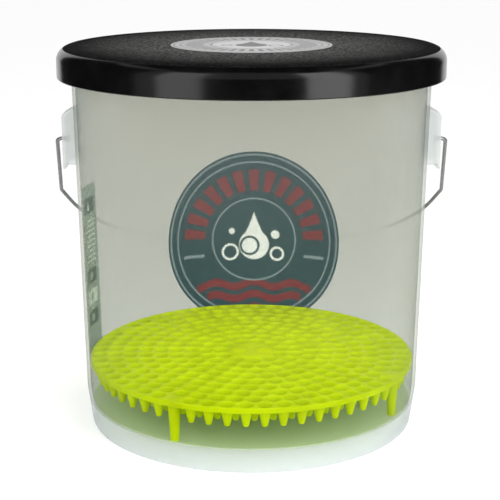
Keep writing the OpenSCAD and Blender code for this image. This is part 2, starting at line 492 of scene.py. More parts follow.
@dataclass(frozen=True)
class PlatedWire:
    """Drawn steel wire with a dull zinc plating."""

    name: str = "bail_zinc"
    colour: Colour = (0.22, 0.222, 0.225)

    def material(self) -> bpy.types.Material:
        """Build the material."""
        sheet = NodeSheet(self.name)
        spangle = sheet.cells(700.0)
        drawn = sheet.noise(240.0, 4.0, 0.7)
        worn = tuple(c * 0.72 for c in self.colour)
        tone = sheet.blend(sheet.ramp(drawn, 0.3, 0.75), self.colour, worn)
        shader = sheet.surface(
            Base_Color=tone,
            Metallic=0.85,
            Roughness=sheet.ramp(drawn, 0.3, 0.7, 0.32, 0.5),
            Normal=sheet.bump(sheet.math("ADD", drawn, spangle), 0.00006, 0.5),
        )
        return sheet.finish(shader)


@dataclass(frozen=True)
class PlainMoulding:
    """An opaque moulded or rubber finish with fine texture."""

    name: str
    colour: Colour
    rough: float
    texture_scale: float = 700.0
    texture_depth: float = 0.0001
    shade: float = 0.88

    def material(self) -> bpy.types.Material:
        """Build the material."""
        sheet = NodeSheet(self.name)
        cloud = sheet.noise(35.0, 4.0)
        speck = sheet.noise(self.texture_scale, 3.0)
        shaded = tuple(c * self.shade for c in self.colour)
        tone = sheet.blend(sheet.ramp(cloud, 0.35, 0.7), self.colour, shaded)
        shader = sheet.surface(
            Base_Color=tone,
            Roughness=sheet.ramp(speck, 0.3, 0.7, self.rough - 0.05, self.rough + 0.06),
            Normal=sheet.bump(speck, self.texture_depth, 0.5),
        )
        return sheet.finish(shader)


class Print(NodeSheet):
    """A printed film: masks drawn over each other on the film's flat coordinates."""

    def __init__(self, name: str, edge: float) -> None:
        """Start the film's print.

        Args:
            name: the material's name.
            edge: how wide a soft edge of ink is, in the film's own units.
        """
        super().__init__(name)
        split = self.node("SeparateXYZ")
        self.feed(split.inputs[0], self.node("TexCoord").outputs["UV"])
        self.u: Socket = split.outputs[0]
        self.v: Socket = split.outputs[1]
        self.edge = edge

    def inside(self, distance: Socket) -> Socket:
        """Turn a signed distance into a mask that is 1 where it is negative."""
        return self.ramp(distance, -self.edge, self.edge, 1.0, 0.0)

    def radius(self, x: float = 0.0, y: float = 0.0) -> Socket:
        """The distance from a point.

        Args:
            x: the point's place across the film.
            y: the point's place up the film.

        Returns:
            The distance.
        """
        du = self.minus(self.u, x)
        dv = self.minus(self.v, y)
        return self.math("SQRT", self.math("MULTIPLY_ADD", du, du, self.times(dv, dv)))

    def disc(self, x: float, y: float, r: float) -> Socket:
        """A filled circle.

        Args:
            x: the centre's place across the film.
            y: the centre's place up the film.
            r: its radius.

        Returns:
            The mask.
        """
        return self.inside(self.minus(self.radius(x, y), r))

    def ring(self, x: float, y: float, r: float, half: float) -> Socket:
        """A thin circle.

        Args:
            x: the centre's place across the film.
            y: the centre's place up the film.
            r: the radius of its middle line.
            half: half its line's width.

        Returns:
            The mask.
        """
        off = self.size_of(self.minus(self.radius(x, y), r))
        return self.inside(self.minus(off, half))

    def bar(self, x: float, y: float, half_w: float, half_h: float) -> Socket:
        """A filled rectangle.

        Args:
            x: the centre's place across the film.
            y: the centre's place up the film.
            half_w: half its width.
            half_h: half its height.

        Returns:
            The mask.
        """
        across = self.minus(self.size_of(self.minus(self.u, x)), half_w)
        along = self.minus(self.size_of(self.minus(self.v, y)), half_h)
        return self.inside(self.math("MAXIMUM", across, along))

    def spokes(self, count: int, fill: float, r_in: float, r_out: float, low: float, high: float) -> Socket:
        """Plain blocks set round part of a ring.

        Args:
            count: how many would fill the whole ring.
            fill: the share of each place that is printed.
            r_in: the ring's inner radius.
            r_out: its outer radius.
            low: how far up the film the blocks start.
            high: how far up the film they end.

        Returns:
            The mask.
        """
        turn = self.math("ARCTAN2", self.u, self.v)
        place = self.times(turn, count / math.tau)
        part = self.math("FRACT", self.math("ADD", place, 0.5))
        off = self.size_of(self.minus(part, 0.5))
        soft = 0.03
        blocks = self.ramp(off, fill / 2 - soft, fill / 2 + soft, 1.0, 0.0)
        middle, half = (r_in + r_out) / 2, (r_out - r_in) / 2
        band = self.ring(0.0, 0.0, middle, half)
        shown = self.times(self.inside(self.minus(low, self.v)), self.inside(self.minus(self.v, high)))
        return self.times(self.times(blocks, band), shown)

    def drop(self, x: float, y: float, r: float, height: float) -> Socket:
        """A water drop with its point up.

        Args:
            x: the place of its round part across the film.
            y: the place of its round part up the film.
            r: the radius of its round part.
            height: how far its point is above the centre of the round part.

        Returns:
            The mask.
        """
        up = self.minus(self.v, y)
        share = self.math("DIVIDE", up, height, clamp=True)
        lean = self.times(self.minus(1.0, share), r * 1.02)
        waist = self.math("SQRT", self.minus(1.0, self.times(share, 0.55)))
        taper = self.times(lean, waist)
        side = self.minus(self.size_of(self.minus(self.u, x)), taper)
        ends = self.math("MAXIMUM", self.minus(0.0, up), self.minus(up, height))
        above = self.inside(self.math("MAXIMUM", side, ends))
        return self.math("MAXIMUM", above, self.disc(x, y, r))

    def wave(self, y: float, half: float, reach: float, swing: float, length: float) -> Socket:
        """A wavy band across the film.

        Args:
            y: the place of its middle up the film.
            half: half its thickness.
            reach: how far it goes to each side.
            swing: the height of its waves.
            length: the length of one wave.

        Returns:
            The mask.
        """
        bend = self.times(self.math("COSINE", self.times(self.u, math.tau / length)), swing)
        off = self.size_of(self.minus(self.minus(self.v, y), bend))
        thick = self.minus(off, half)
        wide = self.minus(self.size_of(self.u), reach)
        return self.inside(self.math("MAXIMUM", thick, wide))

    def layers(self, ground: Colour, inks: Sequence[tuple[Socket, Colour]]) -> Socket:
        """Print inks over a ground colour.

        Args:
            ground: the film's ground colour.
            inks: masks and their colours, lowest first.

        Returns:
            The printed colour.
        """
        cloud = self.noise(60.0, 3.0)
        colour = self.blend(self.ramp(cloud, 0.35, 0.7), ground, tuple(c * 0.9 for c in ground))
        for mask, ink in inks:
            colour = self.blend(mask, colour, ink)
        return colour

    def film(
        self, colour: Socket, rough: float, see_through: float = 0.0, shine: float = 0.0
    ) -> bpy.types.Material:
        """Finish the film.

        Args:
            colour: its printed colour.
            rough: its roughness.
            see_through: the share of light that comes through it from behind.
            shine: how strongly its inks shine by themselves, a painted glow that stands in for light
                through the film.

        Returns:
            The finished material.
        """
        speck = self.noise(800.0, 2.0)
        shader = self.surface(
            Base_Color=colour,
            Roughness=self.ramp(speck, 0.3, 0.7, rough - 0.05, rough + 0.05),
            Normal=self.bump(speck, 0.00005, 0.3),
            # painted glow: the printed colour shines by itself
            Emission_Color=colour,
            Emission_Strength=shine,
        )
        if see_through:
            shader = self.join(see_through, shader, self.through(colour))
        return self.finish(shader)


@dataclass(frozen=True)
class RearPrint:
    """Dark round label with pale rings, plain red blocks, a drop with bubbles and red waves."""

    ground: Colour = (0.03, 0.11, 0.155)
    pale: Colour = (0.38, 0.44, 0.52)
    white: Colour = (0.96, 0.96, 1.0)
    red: Colour = (0.33, 0.04, 0.07)

    def material(self) -> bpy.types.Material:
        """Build the material."""
        ink = Print("rear_label_print_painted_glow", 0.006)
        inks = [
            (ink.spokes(26, 0.62, 0.56, 0.80, -0.02, 2.0), self.red),
            (ink.wave(-0.52, 0.045, 0.66, 0.03, 0.44), self.red),
            (ink.wave(-0.66, 0.045, 0.54, 0.03, 0.44), self.red),
            (ink.wave(-0.80, 0.03, 0.34, 0.03, 0.44), self.red),
            (ink.ring(0, 0, 0.967, 0.010), self.pale),
            (ink.ring(0, 0, 0.883, 0.009), self.pale),
            (ink.disc(0, 0, 0.47), self.ground),
            (ink.ring(0, 0, 0.47, 0.009), self.pale),
            (ink.drop(0, -0.06, 0.17, 0.38), self.white),
            (ink.ring(-0.26, -0.16, 0.07, 0.014), self.white),
            (ink.ring(0.27, -0.14, 0.085, 0.014), self.white),
            (ink.disc(0.25, 0.1, 0.035), self.white),
            (ink.disc(-0.24, 0.06, 0.05), self.white),
            (ink.bar(-0.69, -0.17, 0.12, 0.018), self.pale),
            (ink.bar(0.69, -0.17, 0.12, 0.018), self.pale),
            (ink.ring(0.05, -0.07, 0.1, 0.012), self.ground),
        ]
        # painted glow: the film shines by itself at 0.9, brightening its inks as if lit through
        return ink.film(ink.layers(self.ground, inks), 0.4, 0.5, 0.9)


@dataclass(frozen=True)
class SidePrint:
    """Narrow care label of plain bars and swatches, with no writing."""

    ground: Colour = (0.52, 0.60, 0.58)
    pale: Colour = (0.84, 0.88, 0.86)
    dark: Colour = (0.14, 0.22, 0.23)
    rows: int = 9

    def material(self) -> bpy.types.Material:
        """Build the material."""
        ink = Print("side_label_print_painted_glow", 0.008)
        marks: list[tuple[Socket, Colour]] = [
            (ink.bar(0.5, 3.78, 0.36, 0.20), self.dark),
            (ink.drop(0.5, 3.72, 0.075, 0.16), self.pale),
        ]
        lengths = random.Random(11)
        for row in range(self.rows):
            half = lengths.uniform(0.18, 0.36)
            marks.append((ink.bar(0.14 + half, 3.38 - row * 0.13, half, 0.022), self.pale))
        for row, tone in enumerate((self.dark, self.pale, self.dark)):
            marks.append((ink.bar(0.5, 1.95 - row * 0.55, 0.34, 0.19), tone))
            marks.append((ink.disc(0.5, 1.95 - row * 0.55, 0.11), self.ground))
        # painted glow: the film shines by itself at 0.5, brightening its inks as if lit through
        return ink.film(ink.layers(self.ground, marks), 0.45, 0.5, 0.5)


@dataclass(frozen=True)
class BadgePrint:
    """Pale grey round badge with thin rings, rays and a drop."""

    ground: Colour = (0.34, 0.345, 0.34)
    grey: Colour = (0.11, 0.11, 0.11)
    light: Colour = (0.44, 0.445, 0.44)

    def material(self) -> bpy.types.Material:
        """Build the material."""
        ink = Print("lid_badge_print", 0.008)
        inks = [
            (ink.spokes(40, 0.5, 0.60, 0.82, -2.0, 2.0), self.grey),
            (ink.disc(0, 0, 0.50), self.light),
            (ink.ring(0, 0, 0.96, 0.008), self.grey),
            (ink.ring(0, 0, 0.88, 0.008), self.grey),
            (ink.ring(0, 0, 0.50, 0.01), self.grey),
            (ink.drop(0, -0.08, 0.2, 0.44), self.grey),
            (ink.ring(0.30, -0.14, 0.08, 0.015), self.grey),
            (ink.ring(-0.30, -0.10, 0.06, 0.015), self.grey),
        ]
        return ink.film(ink.layers(self.ground, inks), 0.5)


# ---------------------------------------------------------------------------
# Mesh making
# ---------------------------------------------------------------------------


def make_piece(
    name: str, verts: Sequence[Point3], faces: Sequence[Sequence[int]], sharp_deg: float = 35.0
) -> bpy.types.Object:
    """Make a smooth-shaded mesh object whose hard edges stay sharp.

    Args:
        name: the piece's name.
        verts: its corners, in millimetres.
        faces: its faces, as corner numbers.
        sharp_deg: edges bent more than this are shaded sharp.

    Returns:
        The new object.
    """
    mesh = bpy.data.meshes.new(name)
    mesh.from_pydata([(x * MM, y * MM, z * MM) for x, y, z in verts], [], faces)
    mesh.validate()
    mesh.polygons.foreach_set("use_smooth", [True] * len(mesh.polygons))
    mesh.set_sharp_from_angle(angle=math.radians(sharp_deg))
    mesh.update()
    made = bpy.data.objects.new(name, mesh)
    bpy.context.scene.collection.objects.link(made)
    return made


def arc_corner(before: Point2, corner: Point2, after: Point2, radius: float, steps: int) -> list[Point2]:
    """Round one corner of an outline.

    Args:
        before: the point before the corner.
        corner: the corner itself.
        after: the point after it.
        radius: the radius of the rounding.
        steps: how many segments the rounding has.

    Returns:
        The points that stand for the corner.
    """
    c = Vector(corner)
    to_before, to_after = (Vector(before) - c), (Vector(after) - c)
    if radius <= 0 or min(to_before.length, to_after.length) < TINY:
        return [corner]
    d1, d2 = to_before.normalized(), to_after.normalized()
    opening = d1.angle(d2)
    if opening > math.pi - NEARLY_STRAIGHT:
        return [corner]
    lengths = (MOST_OF_EDGE * to_before.length, MOST_OF_EDGE * to_after.length)
    reach = min(radius / math.tan(opening / 2), *lengths)
    radius = reach * math.tan(opening / 2)
    centre = c + (d1 + d2).normalized() * (radius / math.sin(opening / 2))
    start, end = c + d1 * reach - centre, c + d2 * reach - centre
    sweep = start.angle_signed(end)
    points = []
    for i in range(steps + 1):
        turned = Matrix.Rotation(-sweep * i / steps, 2) @ start
        points.append(tuple(centre + turned))
    return points


def rounded(outline: Sequence[tuple[float, float, float]], steps: int = 5) -> list[Point2]:
    """Round the corners of a closed outline.

    Args:
        outline: points as (r, z, rounding), in order.
        steps: segments in each rounding.

    Returns:
        The rounded outline.
    """
    points: list[Point2] = []
    count = len(outline)
    for i, (r, z, radius) in enumerate(outline):
        before, after = outline[i - 1], outline[(i + 1) % count]
        points += arc_corner(before[:2], (r, z), after[:2], radius, steps)
    return points


def circle(r: float, z: float, sides: int, x: float = 0.0, y: float = 0.0) -> list[Point3]:
    """Corners set evenly round a level circle.

    Args:
        r: its radius.
        z: its height.
        sides: how many corners it has.
        x: its centre's X.
        y: its centre's Y.

    Returns:
        The corners.
    """
    turns = [math.tau * i / sides for i in range(sides)]
    return [(x + r * math.cos(turn), y + r * math.sin(turn), z) for turn in turns]


def lathe(name: str, outline: Sequence[Point2], segments: int) -> bpy.types.Object:
    """Turn an outline about the Z axis into a closed piece.

    Args:
        name: the piece's name.
        outline: points as (r, z), in millimetres.
        segments: how many steps the turn has.

    Returns:
        The new object.
    """
    turning = sum(a[0] * b[1] - b[0] * a[1] for a, b in zip(outline, [*outline[1:], outline[0]]))
    verts: list[Point3] = []
    rows: list[list[int]] = []
    for r, z in outline if turning > 0 else reversed(outline):
        if r < TINY:
            rows.append([len(verts)] * segments)
            verts.append((0.0, 0.0, z))
            continue
        rows.append([len(verts) + i for i in range(segments)])
        verts += circle(r, z, segments)
    faces: list[list[int]] = []
    for k in range(len(rows)):
        low, high = rows[k], rows[(k + 1) % len(rows)]
        if low[0] == low[1] and high[0] == high[1]:
            continue
        for i in range(segments):
            j = (i + 1) % segments
            corners = [low[i], low[j], high[j], high[i]]
            faces.append(list(dict.fromkeys(corners)))
    return make_piece(name, verts, faces)


def place(piece: bpy.types.Object, matrix: Matrix) -> None:
    """Move a piece's mesh, so that its object stays at the origin.

    Args:
        piece: the piece.
        matrix: where its mesh goes.
    """
    piece.data.transform(matrix)
    piece.data.update()


def dress(
    piece: bpy.types.Object,
    body: Body,
    materials: Iterable[bpy.types.Material],
    nodes: Sequence[str] = (),
) -> bpy.types.Object:
    """Give a piece its finish and body, and hide the CAD nodes it stands for.

    Args:
        piece: the piece.
        body: the body it rides on.
        materials: its materials, in slot order.
        nodes: the CAD nodes it stands for.

    Returns:
        The same piece.
    """
    piece.data.materials.clear()
    for material in materials:
        piece.data.materials.append(material)
    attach(piece, body.value)
    if nodes:
        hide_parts(*nodes)
    LOG.info("%s: %d faces on body %s", piece.name, len(piece.data.polygons), body.value)
    return piece


def repaint(frame: dict, node: str, material: bpy.types.Material) -> None:
    """Give a carried-over node a better material.

    Args:
        node: the node's name.
        material: its new material.
    """
    made = frame["nodes"][node]
    for place_in in made.material_slots:
        place_in.material = material
    LOG.info("%s: carried over", node)


# ---------------------------------------------------------------------------
# Sub-assemblies
# ---------------------------------------------------------------------------


@dataclass
class Pail:
    """The translucent bucket with its ears and printed films. Sizes are in millimetres."""

    frame: dict
    foot_r: float = 135.0
    wall_low_r: float = 138.9
    wall_low_z: float = 30.0
    wall_top_r: float = 144.2
    lip_low_z: float = 291.0
    top_z: float = 303.0
    wall_t: float = 2.6
    floor_z: float = 17.5
    floor_t: float = 3.0
    rim_r: float = 151.3
    rim_t: float = 2.6
    film_t: float = 0.3
    film_gap: float = 0.06
    segments: int = 192
    rear_radius: float = 83.5
    rear_x: float = 2.6
    rear_z: float = 115.0
    side_from: float = 161.3
    side_turn: float = 13.7
    side_low: float = 45.0
    side_high: float = 190.0
    milky: MilkyPlastic = field(default_factory=MilkyPlastic)
    # painted glow: the wall's outer face glows more on its back half
    outer_milky_painted_glow: MilkyPlastic = field(default_factory=lambda: MilkyPlastic("milky_wall_outside_painted_glow", back_glow_painted=0.93))
    # painted light: the floor's upper face gets a lime foot colour that stands in for light bounced off the
    # trap
    floor_milky_painted_lime: MilkyPlastic = field(
        default_factory=lambda: MilkyPlastic("milky_floor_painted_lime", foot_colour=(0.78, 0.93, 0.50), foot_haze=0.6)
    )
    ear_white: Colour = (0.71, 0.73, 0.74)
    ear_clear: Colour = (0.86, 0.87, 0.87)
    ear_haze: float = 0.42

    def wall_r(self, z: float) -> float:
        """The wall's outer radius at a height."""
        if z < self.wall_low_z:
            return self.foot_r + (self.wall_low_r - self.foot_r) * z / self.wall_low_z
        slope = (self.wall_top_r - self.wall_low_r) / (self.lip_low_z - self.wall_low_z)
        return self.wall_low_r + slope * (z - self.wall_low_z)

    def shell(self) -> bpy.types.Object:
        """Turn the pail's wall, floor, foot ring and rim."""
        t = self.wall_t
        under = self.floor_z - self.floor_t
        flange_z = self.top_z - self.rim_t
        lip_in = self.rim_r - self.rim_t
        outline = [
            (0.0, under, 0.0),
            (self.wall_r(under) - t, under, 2.0),
            (self.wall_r(0) - t, 0.0, 0.8),
            (self.foot_r, 0.0, 1.6),
            (self.wall_r(12), 12.0, 30.0),
            (self.wall_low_r, self.wall_low_z, 60.0),
            (self.wall_r(flange_z), flange_z, 1.2),
            (lip_in, flange_z, 1.0),
            (lip_in, self.lip_low_z, 0.6),
            (self.rim_r, self.lip_low_z, 0.6),
            (self.rim_r, self.top_z, 1.4),
            (self.wall_r(self.top_z) - t, self.top_z, 1.0),
            (self.wall_low_r - t, self.wall_low_z, 60.0),
            (self.wall_r(self.floor_z) - t, self.floor_z, 3.2),
            (0.0, self.floor_z, 0.0),
        ]
        return lathe("pail", rounded(outline, 6), self.segments)

    def outer_skin(self, pail: bpy.types.Object) -> None:
        """Give the wall's outer face the second material and the floor's upper face the third.

        Args:
            pail: the pail's piece.
        """
        for face in pail.data.polygons:
            c = face.center
            outward = face.normal.x * c.x + face.normal.y * c.y > 0
            on_wall = self.floor_z * MM < c.z < self.lip_low_z * MM
            on_floor = abs(c.z - self.floor_z * MM) < MM and face.normal.z > 0.7
            face.material_index = 2 if on_floor else int(outward and on_wall)

    def film_piece(
        self, name: str, spots: Sequence[Point2], faces: Sequence[Sequence[int]], uvs: Sequence[Point2]
    ) -> bpy.types.Object:
        """Make a thin film on the wall from a flat patch.

        Args:
            name: the piece's name.
            spots: corners as (turn from +X in radians, height).
            faces: the patch's faces.
            uvs: the film's flat coordinates at each corner.

        Returns:
            The film.
        """
        verts: list[Point3] = []
        for lift in (self.film_gap, self.film_t):
            for turn, z in spots:
                r = self.wall_r(z) + lift
                verts.append((r * math.cos(turn), r * math.sin(turn), z))
        count = len(spots)
        edges = dict.fromkeys((a, b) for face in faces for a, b in zip(face, [*face[1:], face[0]]))
        open_edges = [(a, b) for a, b in edges if (b, a) not in edges]
        all_faces = [[i + count for i in face] for face in faces]
        all_faces += [list(reversed(face)) for face in faces]
        all_faces += [[a, b, b + count, a + count] for a, b in open_edges]
        film = make_piece(name, verts, all_faces)
        layer = film.data.uv_layers.new(name="film")
        for loop in film.data.loops:
            layer.data[loop.index].uv = uvs[loop.vertex_index % count]
        return film

    def rear_film(self) -> bpy.types.Object:
        """Make the round film on the rear of the wall."""
        rings, spokes = 24, 96
        middle_r = self.wall_r(self.rear_z)
        spots, uvs = [], []
        centre_turn = math.pi / 2 - math.asin(self.rear_x / middle_r)
        for ring in range(rings + 1):
            for spoke in range(spokes if ring else 1):
                a = math.tau * spoke / spokes
                u, v = ring / rings * math.sin(a), ring / rings * math.cos(a)
                turn = centre_turn + u * self.rear_radius / middle_r
                spots.append((turn, self.rear_z + v * self.rear_radius))
                uvs.append((u, v))
        faces: list[list[int]] = []
        for spoke in range(spokes):
            nxt = (spoke + 1) % spokes
            faces.append([0, 1 + nxt, 1 + spoke])
            for ring in range(rings - 1):
                a, b = 1 + ring * spokes, 1 + (ring + 1) * spokes
                faces.append([a + spoke, a + nxt, b + nxt, b + spoke])
        return self.film_piece("rear_film", spots, faces, uvs)

    def side_film(self) -> bpy.types.Object:
        """Make the narrow film on the left of the wall."""
        columns, rows = 10, 40
        width = math.radians(self.side_turn) * self.wall_r((self.side_low + self.side_high) / 2)
        tall = (self.side_high - self.side_low) / width
        spots, uvs = [], []
        for row in range(rows + 1):
            for column in range(columns + 1):
                turn = math.radians(self.side_from + self.side_turn * column / columns)
                spots.append((turn, self.side_low + (self.side_high - self.side_low) * row / rows))
                uvs.append((column / columns, tall * row / rows))
        faces = []
        for row in range(rows):
            for column in range(columns):
                a = row * (columns + 1) + column
                faces.append([a, a + 1, a + columns + 2, a + columns + 1])
        return self.film_piece("side_film", spots, faces, uvs)

    def build(self) -> None:
        """Make and dress every piece of the pail."""
        skins = [self.milky.material(), self.outer_milky_painted_glow.material(), self.floor_milky_painted_lime.material()]
        pail = dress(self.shell(), Body.BUCKET, skins, ["bucket_wall", "bucket_floor"])
        self.outer_skin(pail)
        white, clear, haze = self.ear_white, self.ear_clear, self.ear_haze
        ear = MilkyPlastic("milky_ear", white, white, white, clear, clear, low_haze=haze, top_haze=haze)
        for side in ("ear_left", "ear_right"):
            repaint(self.frame, side, ear.material())
        dress(self.rear_film(), Body.BUCKET, [RearPrint().material()], ["rear_label"])
        dress(self.side_film(), Body.BUCKET, [SidePrint().material()], ["side_label"])


@dataclass
class Bail:
    """The wire bail and the grip on it. Sizes are in millimetres."""

    frame: dict
    pivot_z: float = 235.0
    tilt_deg: float = 51.0
    reach: float = 195.0
    grip_len: float = 92.0
    grip_r: float = 10.0
    bore_r: float = 1.9
    finger_ridges: int = 4
    ridge_h: float = 0.7
    neck_cut: float = 1.4
    collar_len: float = 6.5
    collar_slope: float = 1.5
    segments: int = 64

    def grip(self) -> bpy.types.Object:
        """Turn the hand grip, with a collar at each end and soft finger ridges."""
        half, neck_r = self.grip_len / 2, self.grip_r - self.neck_cut
        collar, inner = half - self.collar_len, half - self.collar_len - self.collar_slope
        outline: list[tuple[float, float, float]] = [
            (self.bore_r, -half, 0.3),
            (self.grip_r, -half, 1.2),
            (self.grip_r, -collar, 1.0),
            (neck_r, -inner, 1.0),
        ]
        steps = 12 * self.finger_ridges
        for i in range(1, steps):
            z = -inner + 2 * inner * i / steps
            swell = 0.5 - 0.5 * math.cos(math.tau * i / steps * self.finger_ridges)
            outline.append((neck_r + self.ridge_h * swell, z, 0.0))
        outline += [
            (neck_r, inner, 1.0),
            (self.grip_r, collar, 1.0),
            (self.grip_r, half, 1.2),
            (self.bore_r, half, 0.3),
        ]
        made = lathe("grip_tube", rounded(outline, 4), self.segments)
        tilt = math.radians(self.tilt_deg)
        where = Vector((0, self.reach * math.sin(tilt), self.pivot_z - self.reach * math.cos(tilt))) * MM
        place(made, Matrix.Translation(where) @ Matrix.Rotation(math.pi / 2, 4, "Y"))
        return made

    def build(self) -> None:
        """Make and dress the bail's pieces."""
        repaint(self.frame, "bail_wire", PlatedWire().material())
        plastic = PlainMoulding("grip_natural", (0.80, 0.80, 0.76), 0.42)
        dress(self.grip(), Body.GRIP, [plastic.material()], ["hand_grip"])


@dataclass
class Lid:
    """The seat lid. Sizes are in millimetres."""

    frame: dict
    radius: float = 155.5
    low_z: float = 287.0
    top_z: float = 311.0
    edge_r: float = 10.5
    wall_t: float = 3.0
    badge_r: float = 65.0
    badge_t: float = 0.5
    grain_r: float = 150.4
    segments: int = 224
    edge_steps: int = 18
    badge_sides: int = 128
    pebbled: BlackPlastic = BlackPlastic(
        "lid_grain_painted_rim_shade", (0.004, 0.004, 0.004), (0.10, 0.10, 0.094), rough=0.72, shine=0.09, grain_depth=0.00035
    )

    def shell(self) -> bpy.types.Object:
        """Turn the lid's top, rounded edge and skirt, and the recess for the badge."""
        r, t, low, top = self.radius, self.wall_t, self.low_z, self.top_z
        recess = top - self.badge_t
        outline = [
            (0.0, recess, 0.0),
            (self.badge_r, recess, 0.0),
            (self.badge_r, top, 0.25),
            (r, top, self.edge_r),
            (r, low, 0.9),
            (r - t, low, 0.9),
            (r - t, top - t, self.edge_r - t),
            (0.0, top - t, 0.0),
        ]
        return lathe("lid_cap", rounded(outline, self.edge_steps), self.segments)

    def grain_top(self, cap: bpy.types.Object) -> None:
        """Give the lid's flat top the second material."""
        for face in cap.data.polygons:
            c = face.center
            on_top = c.z > (self.top_z - self.wall_t) * MM and face.normal.z > 0.5
            face.material_index = 1 if on_top and math.hypot(c.x, c.y) < self.grain_r * MM else 0

    def badge(self) -> bpy.types.Object:
        """Turn the flush printed badge."""
        r, top = self.badge_r - 0.25, self.top_z
        low = top - self.badge_t
        outline = [(0.0, low, 0.0), (r, low, 0.0), (r, top, 0.2), (0.0, top, 0.0)]
        made = lathe("badge_film", rounded(outline, 3), self.badge_sides)
        layer = made.data.uv_layers.new(name="film")
        for loop in made.data.loops:
            spot = made.data.vertices[loop.vertex_index].co
            layer.data[loop.index].uv = (spot.x / (r * MM), spot.y / (r * MM))
        return made

    def build(self) -> None:
        """Make and dress every piece of the lid."""
        gloss = BlackPlastic().material()
        grain = self.pebbled.material()
        cap = dress(self.shell(), Body.LID, [gloss, grain], ["lid_shell"])
        self.grain_top(cap)
        dress(self.badge(), Body.LID, [BadgePrint().material()], ["lid_badge"])
        repaint(self.frame, "lid_plug", gloss)
        rubber = PlainMoulding("lid_rubber", (0.03, 0.03, 0.03), 0.7, 900.0, 0.0002)
        repaint(self.frame, "lid_gasket", rubber.material())


@dataclass
class Funnel:
    """One funnel of the trap, as a turned section about its own axis. Sizes are in millimetres."""

    mouth_r: float = 6.25
    sides: int = 24

    def section(self, top: float, under: float, tip: float) -> list[Point2]:
        """The funnel's section, from its mouth down its bore and up its outside.

        Args:
            top: the height of the disc's upper face.
            under: the height of its lower face.
            tip: the height of the nozzle's tip.

        Returns:
            Points as (r, z); the first lies on the upper face and the last on the lower face.
        """
        mouth = [(self.mouth_r, top), (6.05, top - 0.12)]
        bowl = [(5.7, top - 0.55), (5.2, top - 1.4), (4.6, top - 2.6)]
        bore = [(4.0, under + 0.4), (3.8, under - 0.6), (2.5, (under + tip) / 2), (1.3, tip + 0.3)]
        lip = [(1.45, tip), (2.0, tip), (2.3, tip + 0.3)]
        outside = [(3.7, (under + tip) / 2), (4.9, under - 0.7), (5.4, under)]
        return mouth + bowl + bore + lip + outside


